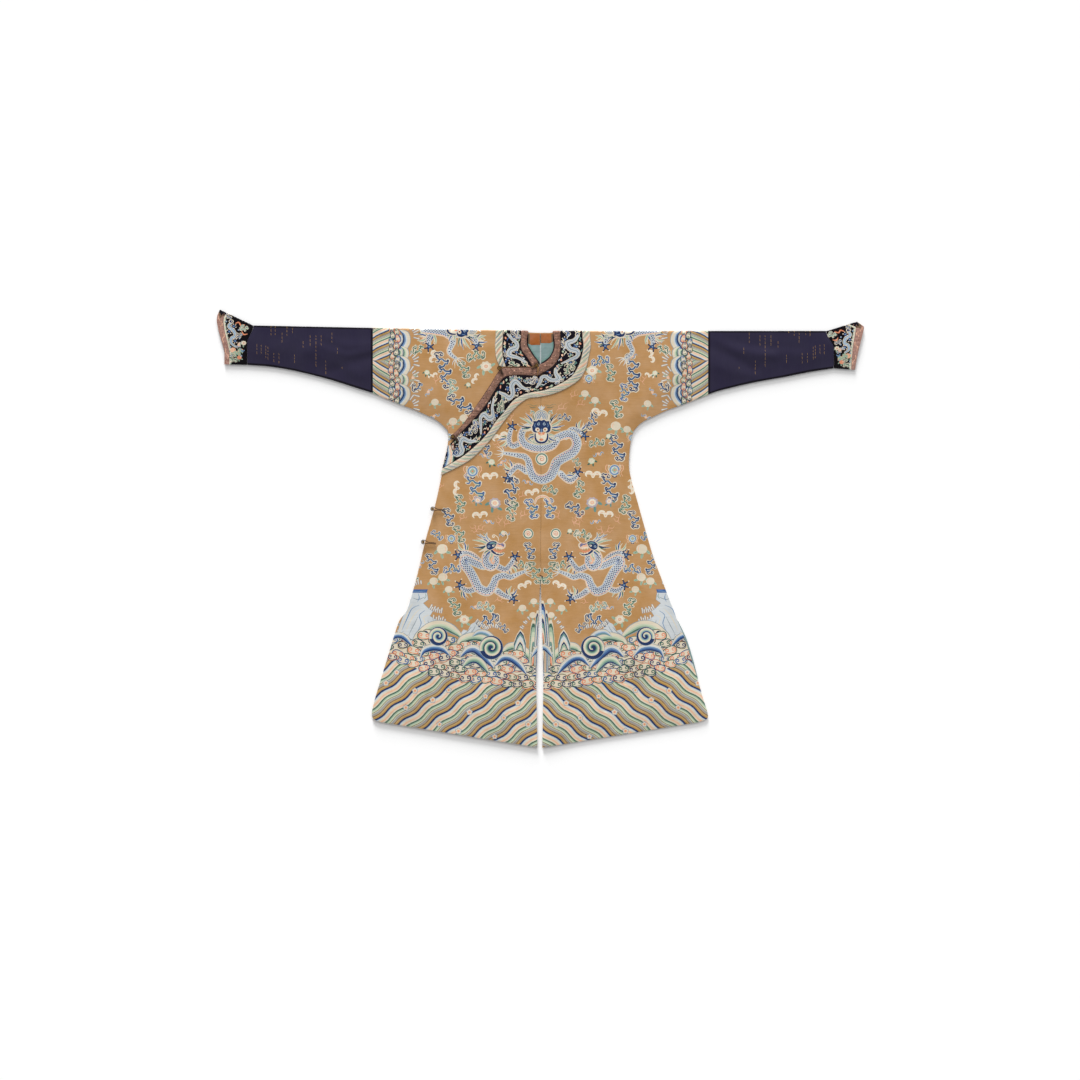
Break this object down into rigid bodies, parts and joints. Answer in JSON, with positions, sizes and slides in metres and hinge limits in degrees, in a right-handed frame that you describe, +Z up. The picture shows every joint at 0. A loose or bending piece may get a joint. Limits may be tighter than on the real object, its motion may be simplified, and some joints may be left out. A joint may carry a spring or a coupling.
{
  "type": "chinese dragon robe",
  "caption": "Long side-closing robe of figured silk laid flat, with dark sleeves, flared cuffs, curved dark collar with a rope border, and a centre vent.",
  "frame": {"origin": "centre of the bounding box in plan, on the table the robe lies on", "axes": "+X along the sleeves towards the wearer's left cuff, +Y from hem to shoulder fold, +Z up from the table"},
  "size_m": [2.117, 1.4321, 0.0206],
  "materials": {
    "ochre_silk": "tapestry-woven silk, ochre ground with many-coloured figures",
    "navy_satin": "dark blue-violet silk satin with rows of fine gold flecks",
    "dark_silk": "near-black tapestry silk with pale blue, white and coral figures",
    "rope_silk": "cream tapestry silk in a twisted rope pattern",
    "brown_binding": "worn purple-brown silk binding",
    "ribbon": "pinkish brown figured ribbon",
    "orange_silk": "plain orange-brown silk facing",
    "teal_silk": "glossy pale teal silk lining",
    "gilt_brass": "worn gilt brass"
  },
  "bodies": {
    "root": {"left_length": "ochre_silk", "right_length": "ochre_silk", "outer_front": "ochre_silk", "sleeve_left": "navy_satin", "sleeve_right": "navy_satin", "cuff_left": "dark_silk", "cuff_right": "dark_silk", "cuff_ribbon_left": "ribbon", "cuff_ribbon_right": "ribbon", "collar_left": "dark_silk", "collar_right": "dark_silk", "rope_border_left": "rope_silk", "rope_border_right": "rope_silk", "neck_binding_left": "brown_binding", "neck_binding_right": "brown_binding", "closing_binding": "brown_binding", "neck_facing_left": "orange_silk", "neck_facing_right": "orange_silk", "neck_lining_left": "teal_silk", "neck_lining_right": "teal_silk", "side_lining": "teal_silk", "button_neck": "gilt_brass", "loop_neck": "brown_binding", "button_corner": "gilt_brass", "loop_corner": "brown_binding", "button_underarm": "gilt_brass", "loop_underarm": "brown_binding", "button_side_upper": "gilt_brass", "loop_side_upper": "brown_binding", "button_side_lower": "gilt_brass", "loop_side_lower": "brown_binding"}
  },
  "joints": []
}
